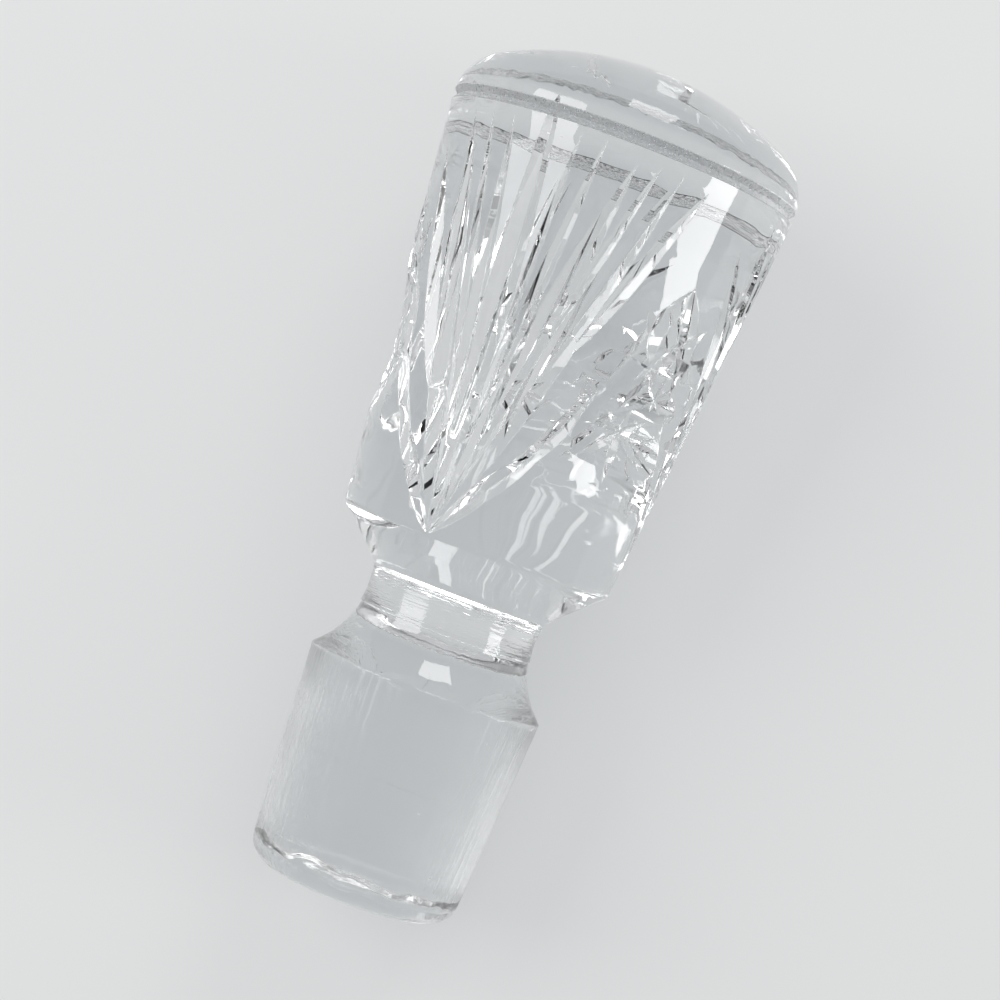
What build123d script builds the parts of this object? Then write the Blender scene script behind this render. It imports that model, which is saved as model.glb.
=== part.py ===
"""Cut-glass decanter stopper, one solid piece of clear crystal.

The blank is turned: a ground plug, a hollow shoulder, a short waisted neck, a conical head and a
domed crown. The head then carries what a cutter's wheels leave on it: three fans of mitre cuts that
spread from the foot of the head, an olive hollow with two small stars between each pair of fans, and
a mitred ring below the crown. The stopper is drawn along its own axis and then laid on its side.
"""

import math
import os

from build123d import *

# Plug, in millimetres. Heights run along the stopper's axis from the tip of the plug.
PLUG_TOP_RADIUS = 13.3
PLUG_END_RADIUS = 11.85
PLUG_LENGTH = 23.9
END_DOME_HEIGHT = 1.5
END_EDGE_RADIUS = 3.0
PLUG_EDGE_RADIUS = 0.35

# Shoulder and neck
SHOULDER_HEIGHT = 6.1
SHOULDER_HOLLOW = 0.6
NECK_RADIUS = 9.95
NECK_WAIST_RADIUS = 9.75
NECK_HEIGHT = 4.1
NECK_LIP = 0.2

# Head
UNDERSIDE_HEIGHT = 5.5
UNDERSIDE_FILLET = 2.6
BASE_RADIUS = 15.4
BASE_EDGE_RADIUS = 1.2
HEAD_HEIGHT = 45.2
RIM_RADIUS = 19.9
RIM_EDGE_RADIUS = 0.3

# Crown
RING_WIDTH = 1.3
RING_DEPTH = 0.55
CROWN_HEIGHT = 9.2
CROWN_EDGE_RADIUS = 5.6

# Cutting wheels
MITRE_HALF_ANGLE = 52.0
STAR_HALF_ANGLE = 48.0
WHEEL_REACH = 5.5
OVERRUN = 3.0
OLIVE_WHEEL_RADIUS = 26.0
OLIVE_WHEEL_WIDTH = 40.0
OLIVE_DEPTH = 1.6
OLIVE_HEIGHT_SHARE = 0.42

# Pattern. A fan's mitres are (turn in degrees, top, bottom, bite in mm): the turn from the fan's own
# meridian at the top end, both ends as shares of the head's height, and how far the wheel sinks below
# the chord between them.
REPEATS = 3
PANEL_TURN = 60.0
BORDER_TURN = 60.5
BORDER_TOP = 0.75
BORDER_BOW = 0.7
FAN_MITRES = [
    (-48.0, 0.87, 0.30, 0.28),
    (-35.0, 0.97, 0.01, 0.32),
    (-26.0, 0.98, 0.36, 0.30),
    (-17.0, 0.98, 0.16, 0.55),
    (-4.5, 1.05, 0.01, 1.15),
    (6.5, 0.99, 0.36, 0.32),
    (14.5, 0.99, 0.24, 0.50),
    (25.5, 0.96, 0.01, 0.75),
    (33.0, 0.98, 0.40, 0.25),
    (40.5, 0.98, 0.03, 0.22),
    (50.0, 0.96, 0.46, 0.25),
]
# A border bows across the head, so it takes several strokes that overlap, each a share of it long.
BORDER_STROKES = 6
BORDER_STROKE_SHARE = 0.34
BORDER_FIRST_BITE = 0.3
BORDER_LAST_BITE = 0.95
# A star is (height share, [(half length in mm, slope in degrees)]), on the panel's own meridian.
STARS = [
    (0.545, [(4.2, -4.0), (5.4, 52.0), (5.0, 128.0), (4.2, 91.0)]),
    (0.375, [(4.9, 2.0), (4.0, 38.0), (3.8, 145.0), (3.2, 86.0)]),
]
STAR_BITE = 0.5

# Rest: the turn about the axis that brings the first fan's meridian to where it lies
FIRST_FAN_TURN = -20.5

# Heights that follow
PLUG_EDGE_Z = END_DOME_HEIGHT + PLUG_LENGTH
NECK_Z = PLUG_EDGE_Z + SHOULDER_HEIGHT
NECK_TOP_Z = NECK_Z + NECK_HEIGHT
BASE_Z = NECK_TOP_Z + UNDERSIDE_HEIGHT
RIM_Z = BASE_Z + HEAD_HEIGHT
CROWN_Z = RIM_Z + RING_WIDTH
TOP_Z = CROWN_Z + CROWN_HEIGHT
CROWN_RADIUS = (CROWN_HEIGHT**2 + RIM_RADIUS**2 - 2 * RIM_RADIUS * CROWN_EDGE_RADIUS) / (
    2 * (CROWN_HEIGHT - CROWN_EDGE_RADIUS)
)


def crown_join():
    """Where the crown's edge arc meets its cap, as (radius, height)."""
    edge_x = RIM_RADIUS - CROWN_EDGE_RADIUS
    cap_z = TOP_Z - CROWN_RADIUS
    rise = CROWN_Z - cap_z
    reach = math.hypot(edge_x, rise)
    return edge_x * CROWN_RADIUS / reach, cap_z + rise * CROWN_RADIUS / reach


def crown_arcs():
    """The crown's outline: a tight arc at the rim that runs tangent into a wide cap."""
    join = crown_join()
    half = math.atan2(join[1] - CROWN_Z, join[0] - (RIM_RADIUS - CROWN_EDGE_RADIUS)) / 2
    on_edge = (
        RIM_RADIUS - CROWN_EDGE_RADIUS + CROWN_EDGE_RADIUS * math.cos(half),
        CROWN_Z + CROWN_EDGE_RADIUS * math.sin(half),
    )
    lean = math.asin(join[0] / CROWN_RADIUS) / 2
    on_cap = (CROWN_RADIUS * math.sin(lean), TOP_Z - CROWN_RADIUS * (1 - math.cos(lean)))
    return [
        ThreePointArc((RIM_RADIUS, CROWN_Z), on_edge, join),
        ThreePointArc(join, on_cap, (0, TOP_Z)),
    ]


def outline():
    """Half of the blank's section in the XZ plane, as (radius, height)."""
    dome_radius = (PLUG_END_RADIUS**2 + END_DOME_HEIGHT**2) / (2 * END_DOME_HEIGHT)
    lean = math.asin(PLUG_END_RADIUS / dome_radius) / 2
    dome_middle = (dome_radius * math.sin(lean), dome_radius * (1 - math.cos(lean)))
    plug_end = (PLUG_END_RADIUS, END_DOME_HEIGHT)
    plug_edge = (PLUG_TOP_RADIUS, PLUG_EDGE_Z)
    shoulder_top = (NECK_RADIUS - NECK_LIP, NECK_Z)
    neck_bottom = (NECK_RADIUS, NECK_Z)
    neck_top = (NECK_RADIUS, NECK_TOP_Z)
    base = (BASE_RADIUS, BASE_Z)
    ring_bottom = (RIM_RADIUS, RIM_Z)
    ring_valley = (RIM_RADIUS - RING_DEPTH, RIM_Z + RING_WIDTH / 2)
    underside_knee = (NECK_RADIUS + 0.7, NECK_TOP_Z + 1.0)
    edges = [
        ThreePointArc((0, 0), dome_middle, plug_end),
        Line(plug_end, plug_edge),
        SagittaArc(plug_edge, shoulder_top, SHOULDER_HOLLOW),
        Line(shoulder_top, neck_bottom),
        ThreePointArc(neck_bottom, (NECK_WAIST_RADIUS, NECK_Z + NECK_HEIGHT / 2), neck_top),
        Line(neck_top, underside_knee),
        Line(underside_knee, base),
        Line(base, ring_bottom),
        Line(ring_bottom, ring_valley),
        Line(ring_valley, (RIM_RADIUS, CROWN_Z)),
        *crown_arcs(),
        Line((0, TOP_Z), (0, 0)),
    ]
    face = Face(Wire(edges))
    rounded = {
        plug_end: END_EDGE_RADIUS,
        plug_edge: PLUG_EDGE_RADIUS,
        underside_knee: UNDERSIDE_FILLET,
        base: BASE_EDGE_RADIUS,
        ring_bottom: RIM_EDGE_RADIUS,
    }
    for place, radius in rounded.items():
        corner = face.vertices().sort_by_distance((*place, 0))[0]
        face = face.fillet_2d(radius, [corner])
    return face


def blank():
    """The turned blank, before any cut."""
    section = Plane.XZ * outline()
    return revolve(section, Axis.Z)


def rest_slope():
    """The slope in degrees of the line that touches the rounded edges of the plug's end and of the rim."""
    arcs = outline().edges().filter_by(GeomType.CIRCLE)
    end_arc = arcs.sort_by_distance((PLUG_END_RADIUS, END_DOME_HEIGHT, 0))[0]
    rim_arc = arcs.sort_by_distance((RIM_RADIUS, RIM_Z, 0))[0]
    run = rim_arc.arc_center - end_arc.arc_center
    taper = math.asin((end_arc.radius - rim_arc.radius) / run.length)
    return math.degrees(math.atan2(run.X, run.Y) - taper)


def head_radius(height):
    """The blank's radius on the head's side and on the crown, at a height."""
    if height <= CROWN_Z:
        return BASE_RADIUS + (RIM_RADIUS - BASE_RADIUS) * (height - BASE_Z) / HEAD_HEIGHT
    join = crown_join()
    if height <= join[1]:
        rise = height - CROWN_Z
        return RIM_RADIUS - CROWN_EDGE_RADIUS + math.sqrt(CROWN_EDGE_RADIUS**2 - rise**2)
    return math.sqrt(CROWN_RADIUS**2 - (height - TOP_Z + CROWN_RADIUS) ** 2)


def on_head(turn, height):
    """The point of the blank's surface at a turn in degrees about the axis and a height."""
    radius = head_radius(height)
    angle = math.radians(turn)
    return Vector(radius * math.sin(angle), -radius * math.cos(angle), height)


def wheel_cut(start, end, bite, half_angle=MITRE_HALF_ANGLE):
    """What a mitre wheel takes out between two points of the surface: the rim of a V-edged disc.

    Its edge enters at start, lies bite below the chord halfway, and leaves at end.
    """
    chord = end - start
    length = chord.length
    along = chord.normalized()
    middle = (start + end) / 2
    outward = Vector(middle.X, middle.Y, 0)
    outward = (outward - along * outward.dot(along)).normalized()
    across = along.cross(outward)
    radius = (length**2 / 4 + bite**2) / (2 * bite)
    hub = middle + outward * (radius - bite)
    spread = WHEEL_REACH * math.tan(math.radians(half_angle))
    rim = hub - outward * radius
    shoulder = rim + outward * WHEEL_REACH
    section = Face(Wire.make_polygon([rim, shoulder + across * spread, shoulder - across * spread]))
    sweep = 2 * math.degrees(math.asin(min(1.0, (length / 2 + OVERRUN) / radius)))
    axis = Axis(hub, across)
    return revolve(section.rotate(axis, -sweep / 2), axis, sweep)


def border(meridian, side):
    """The mitre that closes a fan on one side: side is 1 or -1."""

    def place(share):
        return on_head(
            meridian + side * BORDER_TURN * share**BORDER_BOW, BASE_Z + HEAD_HEIGHT * BORDER_TOP * share
        )

    strokes = []
    for stroke in range(BORDER_STROKES):
        done = stroke / (BORDER_STROKES - 1)
        start = (1 - BORDER_STROKE_SHARE) * done
        bite = BORDER_FIRST_BITE + (BORDER_LAST_BITE - BORDER_FIRST_BITE) * done
        strokes.append(wheel_cut(place(start), place(start + BORDER_STROKE_SHARE), bite))
    return strokes


def fan(meridian):
    """A fan of mitre cuts that spread from one point at the foot of the head."""
    cuts = border(meridian, -1) + border(meridian, 1)
    for turn, top, bottom, bite in FAN_MITRES:
        start = on_head(meridian + turn * bottom / top, BASE_Z + HEAD_HEIGHT * bottom)
        end = on_head(meridian + turn, BASE_Z + HEAD_HEIGHT * top)
        cuts.append(wheel_cut(start, end, bite))
    return cuts


def olive(meridian):
    """The hollow that a flat-rimmed wheel leaves across a panel."""
    height = BASE_Z + HEAD_HEIGHT * OLIVE_HEIGHT_SHARE
    surface = on_head(meridian, height)
    slope = math.atan2(RIM_RADIUS - BASE_RADIUS, HEAD_HEIGHT)
    angle = math.radians(meridian)
    outward = Vector(
        math.cos(slope) * math.sin(angle), -math.cos(slope) * math.cos(angle), -math.sin(slope)
    )
    across = Vector(math.cos(angle), math.sin(angle), 0)
    hub = surface + outward * (OLIVE_WHEEL_RADIUS - OLIVE_DEPTH)
    plane = Plane(origin=hub, x_dir=outward, z_dir=across)
    return plane * Cylinder(OLIVE_WHEEL_RADIUS, OLIVE_WHEEL_WIDTH)


def olive_depth(height):
    """How deep the olive hollow lies below the blank on its own meridian."""
    off = height - (BASE_Z + HEAD_HEIGHT * OLIVE_HEIGHT_SHARE)
    return max(0.0, OLIVE_DEPTH - off**2 / (2 * OLIVE_WHEEL_RADIUS))


def star(meridian, share, rays):
    """Short mitre cuts that cross at one point of a panel."""
    height = BASE_Z + HEAD_HEIGHT * share
    angle = math.radians(meridian)
    centre = on_head(meridian, height)
    outward = Vector(math.sin(angle), -math.cos(angle), 0)
    centre -= outward * olive_depth(height)
    across = Vector(math.cos(angle), math.sin(angle), 0)
    slope = math.atan2(RIM_RADIUS - BASE_RADIUS, HEAD_HEIGHT)
    up = Vector(0, 0, math.cos(slope)) + outward * math.sin(slope)
    cuts = []
    for half_length, lean in rays:
        along = across * math.cos(math.radians(lean)) + up * math.sin(math.radians(lean))
        reach = along * half_length
        cuts.append(wheel_cut(centre - reach, centre + reach, STAR_BITE, STAR_HALF_ANGLE))
    return cuts


def stopper():
    """The finished stopper along its own axis."""
    piece = blank()
    for repeat in range(REPEATS):
        meridian = 360 / REPEATS * repeat
        panel = meridian + PANEL_TURN
        cuts = [olive(panel), *fan(meridian)]
        for share, rays in STARS:
            cuts += star(panel, share, rays)
        for cut in cuts:
            piece = piece - cut
    return piece


def laid_down(piece):
    """The stopper on its side on the XY plane, head towards +Y, with its box's foot centred on the origin."""
    turned = [shape.rotate(Axis.Z, FIRST_FAN_TURN) for shape in (piece, blank())]
    lying, whole = [shape.rotate(Axis.X, rest_slope() - 90) for shape in turned]
    box = whole.bounding_box()
    centre = box.center()
    return lying.moved(Location((-centre.X, -centre.Y, -box.min.Z)))


if __name__ == "__main__":
    os.makedirs("parts", exist_ok=True)
    export_step(laid_down(stopper()), "parts/stopper.step")
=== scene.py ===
"""Looks of the cut-glass stopper: clear crystal, a ground plug, ground cuts and softly broken edges."""

import math

import bmesh
import bpy
from mathutils import Matrix, Vector


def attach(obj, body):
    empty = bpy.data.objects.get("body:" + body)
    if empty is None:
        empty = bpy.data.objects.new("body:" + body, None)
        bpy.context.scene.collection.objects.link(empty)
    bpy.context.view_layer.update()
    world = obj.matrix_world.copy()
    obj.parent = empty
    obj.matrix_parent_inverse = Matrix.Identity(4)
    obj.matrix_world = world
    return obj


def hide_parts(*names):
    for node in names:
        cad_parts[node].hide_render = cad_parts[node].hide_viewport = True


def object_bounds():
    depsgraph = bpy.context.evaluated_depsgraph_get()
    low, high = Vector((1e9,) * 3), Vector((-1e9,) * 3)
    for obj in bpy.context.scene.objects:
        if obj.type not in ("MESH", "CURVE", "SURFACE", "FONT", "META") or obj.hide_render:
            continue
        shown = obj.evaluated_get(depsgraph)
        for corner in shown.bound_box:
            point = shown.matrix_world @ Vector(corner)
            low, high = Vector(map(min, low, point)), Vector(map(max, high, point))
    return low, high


# The stopper's own axis, in metres and degrees
AXIS_RISE = 5.474
TIP_HEIGHT = 0.011576
TIP_INSET = 0.000217
PLUG_BAND = (0.0042, 0.0253)
NECK_BAND = (0.0313, 0.0358)
RING_BAND = (0.08625, 0.08765)

# Glass
IOR = 1.55
SHARP_ANGLE = 24.0
EDGE_RADIUS = 0.00016
GLASS_COLOUR = (0.985, 0.992, 0.99, 1.0)
RING_COLOUR = (0.62, 0.63, 0.64, 1.0)
SHADOW_TINT = (0.81, 0.82, 0.83, 1.0)
POLISHED_ROUGHNESS = 0.004
PLUG_RADIUS = 0.013
BAND_EDGE = 0.0002
RING_EDGE = 0.00006

# How far each kind of surface detail stands out, in metres
RIPPLE_RELIEF = 0.00010
FOOT_RELIEF = 0.0005
STREAK_RELIEF = 0.00012
NECK_RELIEF = 0.00008
GRAIN_RELIEF = 0.00030
PIT_RELIEF = -0.00010

# Camera: how the stopper's axis lies in the picture, and where the plug's shoulder stands
SHOULDER_Z = 0.0254
LEAN = 20.593
TIP_TOWARDS = 0.289
DISTANCE = 0.3018
SHOULDER_RIGHT = -0.008147
SHOULDER_UP = -0.020038
LENS = 98.77
SENSOR = 36.0

# Light
FLOOR_COLOUR = (0.80, 0.80, 0.79, 1.0)
BACKDROP_COLOUR = (0.50, 0.51, 0.525, 1.0)
FADE = (0.30, 1.10)
WORLD_COLOUR = (0.88, 0.91, 0.95, 1.0)
WORLD_STRENGTH = 0.36

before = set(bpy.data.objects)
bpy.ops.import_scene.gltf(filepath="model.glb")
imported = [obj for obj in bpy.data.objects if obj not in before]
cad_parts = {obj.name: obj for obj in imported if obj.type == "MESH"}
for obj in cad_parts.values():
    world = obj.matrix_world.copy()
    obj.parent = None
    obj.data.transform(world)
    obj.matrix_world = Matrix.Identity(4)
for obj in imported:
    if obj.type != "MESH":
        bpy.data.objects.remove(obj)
cad_box = [list(corner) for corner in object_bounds()]
low, high = (Vector(corner) for corner in cad_box)

rise = math.radians(AXIS_RISE)
along = Vector((0, math.cos(rise), math.sin(rise)))
across = Vector((1, 0, 0))
upward = across.cross(along)
tip = Vector((0, low.y + TIP_INSET, TIP_HEIGHT))


def softened_copy(node):
    """A copy of the CAD solid with welded facets: smooth where the glass curves, sharp where a cut ends."""
    mesh = node.data.copy()
    piece = bpy.data.objects.new("crystal", mesh)
    bpy.context.scene.collection.objects.link(piece)
    work = bmesh.new()
    work.from_mesh(mesh)
    bmesh.ops.remove_doubles(work, verts=work.verts, dist=1e-6)
    bmesh.ops.dissolve_degenerate(work, edges=work.edges, dist=2e-6)
    for face in work.faces:
        face.smooth = True
    for edge in work.edges:
        edge.smooth = edge.calc_face_angle(0.0) < math.radians(SHARP_ANGLE)
    work.to_mesh(mesh)
    work.free()
    weighted = piece.modifiers.new("weighted", "WEIGHTED_NORMAL")
    weighted.keep_sharp = True
    weighted.weight = 90
    return piece


class Nodes:
    """Short ways to add shader nodes to one tree."""

    def __init__(self, tree, keep=False):
        self.tree = tree
        if not keep:
            tree.nodes.clear()

    def add(self, kind, **settings):
        node = self.tree.nodes.new(kind)
        for name, value in settings.items():
            setattr(node, name, value)
        return node

    def put(self, socket, value):
        if isinstance(value, bpy.types.NodeSocket):
            self.tree.links.new(value, socket)
        else:
            socket.default_value = value

    def math(self, operation, *values):
        node = self.add("ShaderNodeMath", operation=operation)
        for socket, value in zip(node.inputs, values):
            self.put(socket, value)
        return node.outputs[0]

    def ramp(self, value, start, end, low_value=0.0, high_value=1.0):
        node = self.add("ShaderNodeMapRange", interpolation_type="SMOOTHSTEP")
        for socket, item in zip(node.inputs, (value, start, end, low_value, high_value)):
            self.put(socket, item)
        return node.outputs[0]

    def band(self, value, start, end, soft):
        inside = self.ramp(value, start - soft, start + soft)
        return self.math("MULTIPLY", inside, self.ramp(value, end - soft, end + soft, 1.0, 0.0))

    def noise(self, vector, scale, detail=2.0, roughness=0.5):
        node = self.add("ShaderNodeTexNoise")
        self.put(node.inputs["Vector"], vector)
        node.inputs["Scale"].default_value = scale
        node.inputs["Detail"].default_value = detail
        node.inputs["Roughness"].default_value = roughness
        return node.outputs["Fac"]

    def stretched(self, vector, scale):
        node = self.add("ShaderNodeMapping")
        self.put(node.inputs["Vector"], vector)
        node.inputs["Scale"].default_value = scale
        return node.outputs[0]

    def bump(self, height, distance, normal=None):
        node = self.add("ShaderNodeBump")
        node.inputs["Distance"].default_value = distance
        self.put(node.inputs["Height"], height)
        if normal is not None:
            self.put(node.inputs["Normal"], normal)
        return node.outputs[0]


def crystal():
    """Clear crystal: polished all over, faintly streaked on the ground plug and matt in the mitred ring."""
    material = bpy.data.materials.new("crystal")
    material.use_nodes = True
    n = Nodes(material.node_tree)
    coords = n.add("ShaderNodeTexCoord").outputs["Object"]
    local = n.add("ShaderNodeMapping", vector_type="TEXTURE")
    n.put(local.inputs["Vector"], coords)
    local.inputs["Location"].default_value = tip
    local.inputs["Rotation"].default_value = (rise - math.pi / 2, 0, 0)
    place = local.outputs[0]
    parts = n.add("ShaderNodeSeparateXYZ")
    n.put(parts.inputs[0], place)
    x, y, z = parts.outputs
    turn = n.math("ARCTAN2", x, n.math("MULTIPLY", y, -1.0))
    unrolled = n.add("ShaderNodeCombineXYZ")
    n.put(unrolled.inputs[0], n.math("MULTIPLY", turn, PLUG_RADIUS))
    n.put(unrolled.inputs[1], z)
    around = unrolled.outputs[0]

    wander = n.math("MULTIPLY", n.math("SUBTRACT", n.noise(place, 180.0), 0.5), 0.003)
    ground_z = n.math("ADD", z, wander)
    plug = n.band(ground_z, *PLUG_BAND, BAND_EDGE)
    neck = n.band(z, *NECK_BAND, BAND_EDGE)
    ring = n.band(z, *RING_BAND, RING_EDGE)

    streaks = n.noise(n.stretched(around, (1.0, 0.04, 1.0)), 1500.0, 4.0, 0.65)
    rings = n.noise(n.stretched(around, (0.03, 1.0, 1.0)), 3200.0, 2.0, 0.5)
    grain = n.noise(place, 2600.0, 3.0, 0.7)
    ripple = n.noise(place, 140.0, 1.0, 0.4)
    fire_polish = n.noise(place, 230.0, 1.0, 0.4)
    foot = n.ramp(ground_z, PLUG_BAND[0] - 0.0004, PLUG_BAND[0] + 0.0003, 1.0, 0.0)
    cells = n.add("ShaderNodeTexVoronoi")
    n.put(cells.inputs["Vector"], place)
    cells.inputs["Scale"].default_value = 420.0
    pits = n.ramp(cells.outputs["Distance"], 0.04, 0.08, 1.0, 0.0)

    rough = n.math("MULTIPLY", plug, n.ramp(streaks, 0.48, 0.64, 0.0, 0.24))
    rough = n.math("ADD", rough, n.math("MULTIPLY", ring, n.ramp(grain, 0.35, 0.65, 0.2, 0.7)))
    rough = n.math("ADD", rough, n.math("MULTIPLY", pits, 0.15))
    rough = n.math("ADD", rough, n.math("MULTIPLY", foot, 0.07))
    rough = n.math("ADD", rough, POLISHED_ROUGHNESS)

    soft_edges = n.add("ShaderNodeBevel", samples=4)
    soft_edges.inputs["Radius"].default_value = EDGE_RADIUS
    normal = soft_edges.outputs[0]
    normal = n.bump(ripple, RIPPLE_RELIEF, normal)
    normal = n.bump(n.math("MULTIPLY", fire_polish, foot), FOOT_RELIEF, normal)
    normal = n.bump(n.math("MULTIPLY", streaks, plug), STREAK_RELIEF, normal)
    normal = n.bump(n.math("MULTIPLY", rings, neck), NECK_RELIEF, normal)
    normal = n.bump(n.math("MULTIPLY", grain, ring), GRAIN_RELIEF, normal)
    normal = n.bump(n.math("MULTIPLY", pits, plug), PIT_RELIEF, normal)

    glass = n.add("ShaderNodeBsdfPrincipled")
    tint = n.add("ShaderNodeMix", data_type="RGBA")
    n.put(tint.inputs[0], ring)
    tint.inputs[6].default_value = GLASS_COLOUR
    tint.inputs[7].default_value = RING_COLOUR
    n.put(glass.inputs["Base Color"], tint.outputs[2])
    glass.inputs["Transmission Weight"].default_value = 1.0
    glass.inputs["IOR"].default_value = IOR
    n.put(glass.inputs["Roughness"], rough)
    n.put(glass.inputs["Normal"], normal)
    through = n.add("ShaderNodeBsdfTransparent")
    through.inputs["Color"].default_value = SHADOW_TINT
    mix = n.add("ShaderNodeMixShader")
    path = n.add("ShaderNodeLightPath").outputs
    n.put(mix.inputs[0], n.math("MAXIMUM", path["Is Shadow Ray"], path["Is Diffuse Ray"]))
    n.put(mix.inputs[1], glass.outputs[0])
    n.put(mix.inputs[2], through.outputs[0])
    out = n.add("ShaderNodeOutputMaterial")
    n.put(out.inputs["Surface"], mix.outputs[0])
    return material


def seen_directly(n):
    """1 for the rays that look at the backdrop: the camera's, and those that mirror or pass glass."""
    path = n.add("ShaderNodeLightPath").outputs
    mirrored = n.math("MAXIMUM", path["Is Glossy Ray"], path["Is Transmission Ray"])
    return n.math("MAXIMUM", path["Is Camera Ray"], mirrored)


def floor():
    """A plain pale floor."""
    bpy.ops.mesh.primitive_plane_add(size=6.0, location=(0, 0, low.z))
    plane = bpy.context.object
    plane.name = "floor"
    material = bpy.data.materials.new("floor")
    material.use_nodes = True
    paint = material.node_tree.nodes["Principled BSDF"]
    paint.inputs["Base Color"].default_value = FLOOR_COLOUR
    paint.inputs["Roughness"].default_value = 0.7
    plane.data.materials.append(material)
    n = Nodes(material.node_tree, keep=True)
    place = n.add("ShaderNodeTexCoord").outputs["Object"]
    distance = n.add("ShaderNodeVectorMath", operation="LENGTH")
    n.put(distance.inputs[0], place)
    far = n.ramp(distance.outputs["Value"], *FADE)
    glow = n.add("ShaderNodeEmission")
    glow.inputs["Color"].default_value = BACKDROP_COLOUR
    mix = n.add("ShaderNodeMixShader")
    n.put(mix.inputs[0], n.math("MULTIPLY", far, seen_directly(n)))
    n.put(mix.inputs[1], paint.outputs[0])
    n.put(mix.inputs[2], glow.outputs[0])
    n.put(material.node_tree.nodes["Material Output"].inputs["Surface"], mix.outputs[0])


def softbox(name, place, size, watts, colour=(1.0, 1.0, 1.0)):
    """A square area lamp that faces the stopper."""
    lamp = bpy.data.lights.new(name, "AREA")
    lamp.size = size
    lamp.energy = watts
    lamp.color = colour
    holder = bpy.data.objects.new(name, lamp)
    bpy.context.scene.collection.objects.link(holder)
    holder.location = place
    aim = (low + high) / 2 - Vector(place)
    holder.rotation_euler = aim.to_track_quat("-Z", "Y").to_euler()


def light():
    """Soft studio light: a key from the left, one beyond the head and a lower one from the right."""
    softbox("key", (-0.76, 0.06, 0.66), 0.66, 6.2)
    softbox("head", (0.10, 0.92, 0.62), 0.42, 3.2)
    softbox("side", (0.78, 0.05, 0.34), 0.30, 2.2)
    world = bpy.data.worlds.new("studio")
    bpy.context.scene.world = world
    world.use_nodes = True
    n = Nodes(world.node_tree)
    lit = n.add("ShaderNodeBackground")
    lit.inputs["Color"].default_value = WORLD_COLOUR
    lit.inputs["Strength"].default_value = WORLD_STRENGTH
    seen = n.add("ShaderNodeBackground")
    seen.inputs["Color"].default_value = BACKDROP_COLOUR
    mix = n.add("ShaderNodeMixShader")
    n.put(mix.inputs[0], seen_directly(n))
    n.put(mix.inputs[1], lit.outputs[0])
    n.put(mix.inputs[2], seen.outputs[0])
    n.put(n.add("ShaderNodeOutputWorld").inputs["Surface"], mix.outputs[0])


def camera():
    """The camera looks down across the stopper, whose axis leans to the right in the picture."""
    lean = math.radians(LEAN)
    nod = math.radians(TIP_TOWARDS)
    facing = along * math.cos(nod) - upward * math.sin(nod)
    right = across * math.cos(lean) + facing * math.sin(lean)
    up = facing * math.cos(lean) - across * math.sin(lean)
    back = right.cross(up)
    shoulder = tip + along * SHOULDER_Z
    place = shoulder - right * SHOULDER_RIGHT - up * SHOULDER_UP + back * DISTANCE
    eye = bpy.data.cameras.new("camera")
    eye.lens = LENS
    eye.sensor_width = SENSOR
    eye.clip_start = 0.01
    holder = bpy.data.objects.new("camera", eye)
    bpy.context.scene.collection.objects.link(holder)
    turn = Matrix((right, up, back)).transposed().to_4x4()
    holder.matrix_world = Matrix.Translation(place) @ turn
    bpy.context.scene.camera = holder


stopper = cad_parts["stopper"]
piece = softened_copy(stopper)
piece.data.materials.clear()
piece.data.materials.append(crystal())
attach(piece, "root")
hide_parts("stopper")
floor()
light()
camera()
bpy.context.scene.view_settings.view_transform = "Standard"
